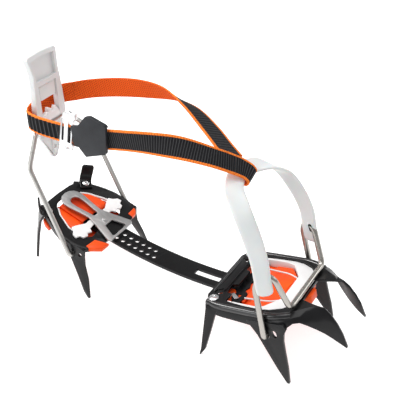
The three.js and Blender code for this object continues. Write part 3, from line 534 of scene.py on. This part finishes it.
# node: (material, record slot, bevel in millimetres)
NODE_LOOKS = {
    "front_frame": ("dark_steel", "dark_steel", 0.8),
    "front_rivet_left": ("bright_rivet", "bright_rivet", 0.15),
    "front_rivet_right": ("bright_rivet", "bright_rivet", 0.15),
    "front_antisnow_plate": ("orange_plate", "orange_plate", 0.4),
    "front_antisnow_insert": ("white_plate", "white_plate", 0.5),
    "linking_bar": ("black_steel", "black_steel", 0.35),
    "bar_keeper": ("bright_rivet", "bright_rivet", 0.3),
    "toe_bail": ("toe_wire", "satin_wire", 0),
    "toe_harness": ("milky_plastic", "milky_plastic", 0.5),
    "heel_frame": ("dark_steel", "dark_steel", 0.7),
    # The heel's anti-snow plate is orange. It gets the darker copy as painted shade.
    "heel_antisnow_plate": ("painted_shade_heel_orange", "orange_plate", 0.5),
    "heel_antisnow_corner_left": ("white_plate", "white_plate", 0.4),
    "heel_antisnow_corner_right": ("white_plate", "white_plate", 0.4),
    "heel_tab_left": ("black_steel", "black_steel", 0.3),
    "heel_tab_right": ("black_steel", "black_steel", 0.3),
    "heel_rivet_left": ("bright_rivet", "bright_rivet", 0.15),
    "heel_rivet_right": ("bright_rivet", "bright_rivet", 0.15),
    "adjuster_clip": ("clip_metal", "satin_wire", 0.35),
    "heel_bail": ("satin_wire", "satin_wire", 0),
    "lever_body": ("lever_plastic", "lever_plastic", 0.8),
    "lever_panel": ("lever_plastic", "lever_plastic", 0.8),
    "lever_crown": ("white_plate", "white_plate", 0.5),
    "lever_claw": ("lever_plastic", "lever_plastic", 0.7),
    "strap_buckle": ("bright_buckle", "bright_buckle", 0.6),
    "strap_tag": ("charcoal_rubber", "charcoal_rubber", 0.8),
}


# ------------------------------------------------------------------ wires

def toe_bail(materials):
    """The bent wire in front of the boot's toe."""
    half = [(48.3, -34.4, 35.1), (48.3, -41.7, 35.1), (37.4, -39.6, 77), (41, -36, 87), (48.8, -33.8, 84.4),
            (60.5, -28.3, 58.7)]
    points = half + [(x, -y, z) for x, y, z in reversed(half)]
    piece = wire("toe_bail_wire", points, TOE_WIRE, 5, BAIL_STEPS, materials["toe_wire"])
    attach(piece, "toe_bail")
    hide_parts("toe_bail")


def heel_bail(materials):
    """The bent wire behind the boot, which carries the lever."""
    half = [(-129.2, -33.2, 35.45), (-129.2, -40.6, 35.45), (-162, -38.6, 107.6),
            (LEVER_PIVOT.x, -20, LEVER_PIVOT.z - 2), (LEVER_PIVOT.x, -14, LEVER_PIVOT.z)]
    points = half + [(x, -y, z) for x, y, z in reversed(half)]
    piece = wire("heel_bail_wire", points, HEEL_WIRE, 4, BAIL_STEPS, materials["satin_wire"])
    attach(piece, "heel_bail")
    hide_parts("heel_bail")


# ------------------------------------------------------------------ webbing

# The webbing's section: places across it in half widths, and through it in half thicknesses.
# It goes over the ribbed outer face first, and back along the plain inner one.
WEBBING_SECTION = [(-1, 0), (-0.985, 0.62), (-0.93, 1.0), (-0.86, 1.0), (-0.8, 0.82), (-0.5, 0.84), (0, 0.86),
                   (0.5, 0.84), (0.8, 0.82), (0.86, 1.0), (0.93, 1.0), (0.985, 0.62), (1, 0),
                   (0.985, -0.62), (0.93, -0.92), (0.8, -0.9), (0.4, -0.92), (-0.4, -0.92), (-0.8, -0.9),
                   (-0.93, -0.92), (-0.985, -0.62)]
OUTER_COLUMNS = 12  # how many of its stretches are on the outer face
RIBBED_SHARE = 0.97  # how far out across the webbing the ribs reach


def webbing(name, points, across_at, outer_side, materials, before=None, after=None,
            rib_pitch=RIB_PITCH, rib_height=0.09):
    """A strap along a smooth line. across_at(t) is the direction across it.
    outer_side is 1 where the black face lies along tangent x across, and -1 where it lies opposite.
    U is the place across it in millimetres. V grows by RIB_PITCH at each rib, however wide the ribs are."""
    rough_length = sum((Vector(b) - Vector(a)).length for a, b in zip(points, points[1:]))
    count = int(rough_length * STEPS_PER_MM)
    line = curve_through(points, count, before, after)
    half_width = STRAP_WIDTH / 2
    half_thick = STRAP_THICKNESS / 2
    vertices = []
    uv = []
    travelled = 0.0
    for k, (centre, along) in enumerate(zip(line, tangents(line))):
        if k:
            travelled += (centre - line[k - 1]).length
        across = Vector(across_at(k / count))
        across = (across - along * across.dot(along)).normalized()
        through = along.cross(across).normalized() * outer_side
        ripple = rib_height * math.cos(2 * math.pi * travelled / rib_pitch)
        for u, v in WEBBING_SECTION:
            raised = v + (ripple if abs(u) < RIBBED_SHARE else 0)
            vertices.append(centre + across * u * half_width + through * raised * half_thick)
            uv.append(((u + 1) * half_width, travelled * RIB_PITCH / rib_pitch))
    around = len(WEBBING_SECTION)
    faces = side_faces(count + 1, around)
    face_materials = [0 if k < OUTER_COLUMNS else 1 for k in range(around)] * count
    if before is None:
        faces.append(tuple(range(around)))
        face_materials.append(1)
    if after is None:
        faces.append(tuple(count * around + k for k in reversed(range(around))))
        face_materials.append(1)
    looks = [materials["webbing_outer"], materials["webbing_inner"]]
    piece = fix_normals(mesh_object(name, vertices, faces, looks, face_materials, uv))
    return piece


UP = (0, 0, 1)

# Middle lines of the ankle strap's stretches. Neighbours share their end points.
HEEL_LOOP_NEAR = [(-137, -27.4, 142.4), (-148, -26.2, 141.2), (-163, -24, 139.8), (-174.2, -19.8, 139.2),
                  (-178.6, -11, 140), (-179, 0, 141.2)]
HEEL_LOOP_FAR = [(-179, 0, 141.2), (-178.2, 11, 143), (-172.6, 19.8, 145.4), (-163, 24, 148),
                 (-162.4, 24.3, 148.2)]
FAR_RUN = [(-162.4, 24.3, 148.2), (-150, 29, 151.4), (-128, 33.6, 156), (-104, 35.4, 160), (-78, 34.6, 162),
           (-56, 29.6, 159), (-34, 20.4, 152.2), (-15, 9.4, 147.2), (-5, 3, 145.6)]
NEAR_RUN = [(-137, -27.4, 142.4), (-126, -28.6, 143.8), (-113.6, -30.6, 147), (-96, -32.4, 150.8),
            (-70, -34, 157.4), (-48, -33.4, 161.4),
            (-27, -28.4, 161.4), (-8, -17.6, 154.6), (2.2, -7.2, 146.8)]
TOE_LOOP = [(2.2, -7.2, 146.8), (6.6, -3, 143), (10.6, -0.8, 139.6), (12.2, 0, 136.6), (10.8, 0.3, 134.4),
            (7.6, 0.6, 134), (3.4, 1, 134.8)]


def far_across(t):
    """Upright at the heel, and turned over to lie nearly flat at the toe."""
    flat = smooth(t, 0.22, 0.84)
    return (-0.2 * flat, -0.95 * flat, 1 - 0.86 * flat)


def near_across(t):
    """Upright at the heel, and leaning over towards the harness at the toe."""
    flat = smooth(t, 0.45, 1)
    return (-0.1 * flat, 0.95 * flat, 1 - 0.78 * flat)


def strap(materials):
    """The ankle strap, in curved stretches from the heel loop to the toe; only the loop at the toe is
    attached to a body.
    """
    heel = webbing("strap_heel_loop_near", HEEL_LOOP_NEAR, lambda t: UP, -1, materials,
                   before=NEAR_RUN[1], after=HEEL_LOOP_FAR[1], rib_pitch=WIDE_RIB_PITCH, rib_height=0.35)
    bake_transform(heel)
    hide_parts("strap_heel_loop")
    back = webbing("strap_heel_loop_far", HEEL_LOOP_FAR, lambda t: UP, -1, materials,
                   before=HEEL_LOOP_NEAR[-2], after=FAR_RUN[1])
    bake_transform(back)
    far = webbing("strap_far", FAR_RUN, far_across, -1, materials, before=HEEL_LOOP_FAR[-3])
    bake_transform(far)
    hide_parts("strap_far_run")
    near = webbing("strap_near", NEAR_RUN, near_across, 1, materials,
                   before=HEEL_LOOP_NEAR[1], after=TOE_LOOP[1])
    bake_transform(near)
    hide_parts("strap_near_run")
    toe = webbing("strap_toe", TOE_LOOP, lambda t: (-0.1, 0.95, mix(0.22, 0.1, t)), 1, materials,
                  before=NEAR_RUN[-2])
    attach(toe, "strap_toe")
    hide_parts("strap_toe_loop")


# ------------------------------------------------------------------ toe harness

# The arch hangs a little to the right, so each arm has its own line and turns by its own amount.
HARNESS_NEAR = [(45.8, -38.4, 71.6), (42.4, -38.2, 84), (38.6, -36.8, 97), (30, -32.8, 112),
                (19.4, -28, 126.4), (8.2, -18.6, 135.3), (4, -8, 138)]
HARNESS_FAR = [(4.6, 8, 138), (11.2, 18.4, 136.6), (23, 28.4, 128.4), (33, 33, 114),
               (41, 35, 98), (44.8, 34.7, 84), (48.4, 34.9, 71.6)]
HARNESS_TOP = (3.2, 0, 138.6)
NEAR_TURN = 0.55
FAR_TURN = -0.15
ROUNDED_SHARE = 0.022  # of the arch's length, rounded off at each end
TOP_THINNING = 0.72  # thickness at the top of the arch, as a share of its arms'


def harness(materials):
    """The soft plastic arch between toe bail and strap, thickest at its ends and thinnest at its top."""
    points = HARNESS_NEAR + [HARNESS_TOP] + HARNESS_FAR
    count = 150
    line = curve_through(points, count)
    around = 20
    rings = []
    for k, (centre, along) in enumerate(zip(line, tangents(line))):
        t = k / count
        lean = smooth(abs(t - 0.5), 0.04, 0.3)
        turn = NEAR_TURN if t < 0.5 else FAR_TURN
        across = Vector((0.9, turn * lean, mix(-0.3, 0.45, lean)))
        across = (across - along * across.dot(along)).normalized()
        through = along.cross(across)
        from_end = min(t, 1 - t)
        round_end = math.sqrt(max(0.0, 1 - (1 - min(1.0, from_end / ROUNDED_SHARE)) ** 2))
        width = mix(HARNESS_END_WIDTH, HARNESS_WIDTH, smooth(from_end, 0.05, 0.25))
        width *= mix(0.42, 1.0, round_end)
        thickness = mix(HARNESS_END_THICKNESS, HARNESS_THICKNESS, smooth(from_end, 0.08, 0.16))
        thickness *= mix(0.5, 1.0, round_end)
        thickness *= mix(1.0, TOP_THINNING, smooth(from_end, 0.36, 0.46))
        ring = []
        for j in range(around):
            angle = 2 * math.pi * j / around
            u = squared_off(math.cos(angle), 0.45)
            v = squared_off(math.sin(angle), 0.6)
            ring.append(centre + across * u * width / 2 + through * v * thickness / 2)
        rings.append(ring)
    vertices, faces = skin(rings)
    piece = fix_normals(mesh_object("toe_harness_arch", vertices, faces, [materials["milky_plastic"]]))
    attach(piece, "harness")
    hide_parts("toe_harness")


# Middles of the slots near the ends of the harness, level with the middle of its thickness.
SLOT_CENTRES = {"left": Vector((46.6, 34.6, 84.6)), "right": Vector((44.2, -38.2, 84.6))}
# name: (width, height, how far it stands proud, material)
# The rim is the harness's own plastic. The black pad inside it is painted shade standing for the dark of the
# slot.
SLOT_PARTS = {"rim": (5.4, 9.4, 0.5, "milky_plastic"), "slot": (3.2, 7.2, 0.62, "black_steel")}


def slot_rings(centre, axes, wide, tall, proud):
    """Rings of a raised oval pad with a bevelled edge. axes are its sideways, upward and outward ways."""
    sideways, upward, outward = axes
    around = 24
    surface = 1.5
    rings = []
    for shrink, depth in ((1.0, -1.4), (1.0, 0.7 * proud), (0.9, proud), (0.4, proud)):
        ring = []
        for k in range(around):
            angle = 2 * math.pi * k / around
            straight = math.copysign((tall - wide) / 2, math.sin(angle))
            u = math.cos(angle) * wide / 2 * shrink
            v = (math.sin(angle) * wide / 2 + straight) * shrink
            ring.append(centre + sideways * u + upward * v + outward * (surface + depth))
        rings.append(ring)
    return rings


def wire_slots(materials):
    """Raised rims on the inner faces of the harness ends, where the wire passes through, each round a black
    pad that is painted shade for the slot.
    """
    for side, word in SIDES:
        upward = Vector((-0.32, -0.02 * side, 0.94)).normalized()
        inward = Vector((-0.1, -0.97 * side, -0.1))
        inward = (inward - upward * upward.dot(inward)).normalized()
        axes = (upward.cross(inward), upward, inward)
        for name, (wide, tall, proud, look) in SLOT_PARTS.items():
            vertices, faces = skin(slot_rings(SLOT_CENTRES[word], axes, wide, tall, proud))
            piece = fix_normals(mesh_object(f"harness_{name}_{word}", vertices, faces, [materials[look]]))
            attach(piece, "harness")


# ------------------------------------------------------------------ anti-snow mouldings

def moulding(name, section, outline, low, high, material, body, soft=0.5):
    """A flat moulded piece in a section's own frame, whose upper edge is rounded over by soft."""
    middle = Vector((sum(p[0] for p in outline), sum(p[1] for p in outline))) / len(outline)
    profile = ((0, low), (0, high - soft), (soft * 0.35, high - soft * 0.3), (soft, high))
    rings = []
    for inset, z in profile:
        ring = []
        for x, y in outline:
            inward = (middle - Vector((x, y))).normalized() * inset
            ring.append(section @ Vector((x + inward.x, y + inward.y, z)))
        rings.append(ring)
    vertices, faces = skin(rings)
    piece = fix_normals(mesh_object(name, vertices, faces, [material]))
    piece.data.set_sharp_from_angle(angle=math.radians(40))
    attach(piece, body)


def bulge(name, centre_y, width, from_x, to_x, floor_z, top_z, material):
    """A long rounded orange bulge along the heel window, with rounded ends."""
    end_radius = 5
    lengthwise = 26
    around = 14
    rings = []
    for k in range(lengthwise + 1):
        x = mix(from_x, to_x, k / lengthwise)
        near_end = min(x - from_x, to_x - x)
        fullness = math.sqrt(max(0.02, 1 - (1 - min(1, near_end / end_radius)) ** 2))
        ring = []
        for j in range(around + 1):
            angle = math.pi * j / around
            u = squared_off(math.cos(angle), 0.6)
            y = centre_y + u * width / 2 * mix(0.6, 1, fullness)
            z = floor_z + (top_z - floor_z) * fullness * math.sin(angle) ** 0.6
            ring.append(HEEL @ Vector((x, y, z)))
        rings.append(ring)
    vertices, faces = skin(rings)
    piece = fix_normals(mesh_object(name, vertices, faces, [material]))
    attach(piece, "heel_section")


def rim_line(name, section, points, width, height, material, body):
    """A thin raised line along a path in a section's own frame."""
    steps = 60
    line = curve_through([(x, y, 0) for x, y, z in points], steps)
    levels = [z for x, y, z in points]
    if min(levels) == max(levels):
        heights = [levels[0]] * (steps + 1)
    else:
        heights = [place.x for place in curve_through([(z, 0, 0) for z in levels], steps)]
    rings = []
    for centre, along, z in zip(line, tangents(line), heights):
        across = Vector((-along.y, along.x, 0)).normalized()
        ring = []
        for u, v in ((-1, -1), (-1, 0.4), (-0.6, 1), (0.6, 1), (1, 0.4), (1, -1)):
            ring.append(section @ (centre + across * u * width / 2 + Vector((0, 0, z + v * height / 2))))
        rings.append(ring)
    vertices, faces = skin(rings)
    piece = fix_normals(mesh_object(name, vertices, faces, [material]))
    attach(piece, body)


def mirrored(half):
    """A closed outline from its left half, which starts and ends on the middle line."""
    return half + [(x, -y) for x, y in reversed(half) if y > 0]


def front_folds(materials):
    """The rounded folds along the front section's sides, and the lip behind its window."""
    lip = [(-3.4, -23, 0.2), (-3.0, -10, 0.8), (-3.2, 6, 1.0), (-3.6, 18, 0.8), (-3.8, 24, 0.2)]
    rim_line("front_rear_lip", FRONT, lip, 1.8, 2.6, materials["fold_steel"], "front_section")
    edge = [(-4, 32.4), (2, 34.4), (9, 35.4), (30, 35.5), (48, 35.3), (56, 33.4), (63, 29.8)]
    depth = -2.1
    for side, word in SIDES:
        points = [FRONT @ Vector((x, y * side, depth)) for x, y in edge]
        piece = wire(f"front_fold_{word}", points, FOLD_DIAMETER, 8, 120, materials["fold_steel"])
        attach(piece, "front_section")


def front_mouldings(materials):
    """The orange floor under the cross-member, and the raised orange panel with a pale line on each side."""
    orange = materials["orange_plate"]
    under_bar = mirrored([(-4, 0), (-4, 23), (20, 21), (20, 0)])
    moulding("front_underlay", FRONT, under_bar, -7, -5.6, orange, "front_section")
    panel = mirrored([(21, 0), (21, 18.6), (40, 16.4), (47.2, 13), (46, 0)])
    moulding("front_panel", FRONT, panel, -4.4, -3.0, orange, "front_section")
    edge = [(20, 19.6), (30, 18.8), (40, 17.6), (47.6, 14.4)]
    depth = -3.4
    for side, word in SIDES:
        line = [(x, y * side, depth) for x, y in edge]
        rim_line(f"front_panel_line_{word}", FRONT, line, 0.9, 1.2, materials["white_plate"],
                 "front_section")


def heel_lips(materials):
    """The orange lips that hold the heel's anti-snow plate at the front corners of the steel."""
    near = [(45.3, -31.3), (46.1, -21), (57.2, -16), (57, -24.7), (49.7, -31.9)]
    far = [(47.5, 24), (47, 33.4), (49.7, 32.3), (52.4, 28.6), (52.4, 23.6)]
    for word, outline in (("right", near), ("left", far)):
        moulding(f"heel_lip_{word}", HEEL, outline, -2.6, 0.9, materials["orange_plate"],
                 "heel_section", soft=0.9)


def heel_mouldings(materials):
    """The bulges in the heel window and the white line along its edges."""
    edge = [(2, 14.2), (8, 18.9), (15, 21.8), (22, 24.7), (28, 25.4)]
    depth = -1.4
    for side, word in SIDES:
        bulge(f"heel_bulge_{word}", 17.2 * side, 12.6, -1.4, 29, -6.5, -1.0, materials["orange_plate"])
        line = [(x, y * side, depth) for x, y in edge]
        rim_line(f"heel_window_line_{word}", HEEL, line, 1.6, 2.0, materials["white_plate"],
                 "heel_section")


# ------------------------------------------------------------------ stage

# name: (place in metres, width in metres, watts)
LIGHTS = {
    "overhead": ((-0.05, -0.05, 1.5), 1.3, 11),
    "high left": ((-1.0, -0.02, 0.98), 0.55, 13),
    "left front": ((-0.7, -1.2, 0.8), 0.9, 8),
    "right back": ((0.9, 1.0, 0.7), 0.7, 3),
}
LIT_POINT = Vector((0, 0, 0.08))
FLOOR_REACH = 30.0  # metres from the middle of the floor to its edges
SKY_STRENGTH = 0.45


def area_light(name, place, size, watts):
    """A round soft light that shines on the middle of the object."""
    data = bpy.data.lights.new(name, "AREA")
    data.shape = "DISK"
    data.size = size
    data.energy = watts
    lamp = bpy.data.objects.new(name, data)
    lamp.location = place
    lamp.rotation_euler = (LIT_POINT - Vector(place)).to_track_quat("-Z", "Y").to_euler()
    bpy.context.scene.collection.objects.link(lamp)


def stage():
    """The white floor, an even white sky and the lights."""
    reach = FLOOR_REACH
    corners = [(-reach, -reach, 0), (reach, -reach, 0), (reach, reach, 0), (-reach, reach, 0)]
    mesh = bpy.data.meshes.new("floor")
    mesh.from_pydata(corners, [], [(0, 1, 2, 3)])
    mesh.materials.append(floor_material())
    floor = bpy.data.objects.new("floor", mesh)
    bpy.context.scene.collection.objects.link(floor)
    world = bpy.data.worlds.new("studio")
    world.use_nodes = True
    world.node_tree.nodes["Background"].inputs["Color"].default_value = (1, 1, 1, 1)
    world.node_tree.nodes["Background"].inputs["Strength"].default_value = SKY_STRENGTH
    bpy.context.scene.world = world
    for name, (place, size, watts) in LIGHTS.items():
        area_light(name, place, size, watts)


def camera():
    """The camera, high up on the toe's right side."""
    data = bpy.data.cameras.new("camera")
    data.lens = LENS
    data.sensor_width = SENSOR_WIDTH
    data.clip_start = 0.01
    back = Vector((math.sin(CAMERA_AZIMUTH) * math.cos(CAMERA_ELEVATION),
                   -math.cos(CAMERA_AZIMUTH) * math.cos(CAMERA_ELEVATION),
                   math.sin(CAMERA_ELEVATION)))
    eye = bpy.data.objects.new("camera", data)
    eye.location = row(CAMERA_TARGET + back * CAMERA_DISTANCE)
    eye.rotation_euler = (-back).to_track_quat("-Z", "Y").to_euler()
    bpy.context.scene.collection.objects.link(eye)
    bpy.context.scene.camera = eye


# ------------------------------------------------------------------ build

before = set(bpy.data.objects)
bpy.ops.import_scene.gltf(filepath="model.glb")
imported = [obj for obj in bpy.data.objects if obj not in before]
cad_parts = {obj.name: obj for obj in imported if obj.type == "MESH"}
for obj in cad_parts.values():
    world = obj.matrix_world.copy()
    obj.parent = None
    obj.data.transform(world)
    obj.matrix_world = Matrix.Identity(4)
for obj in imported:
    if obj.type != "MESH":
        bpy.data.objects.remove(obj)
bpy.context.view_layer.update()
bpy.context.scene.view_settings.view_transform = "Standard"

materials = make_materials()
smoother = smooth_by_angle()
for node_name, (look, slot_name, bevel_width) in NODE_LOOKS.items():
    finish_node(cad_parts[node_name], materials[look], bevel_width, smoother)

toe_bail(materials)
heel_bail(materials)
strap(materials)
harness(materials)
wire_slots(materials)
front_folds(materials)
front_mouldings(materials)
heel_mouldings(materials)
heel_lips(materials)
stage()
camera()
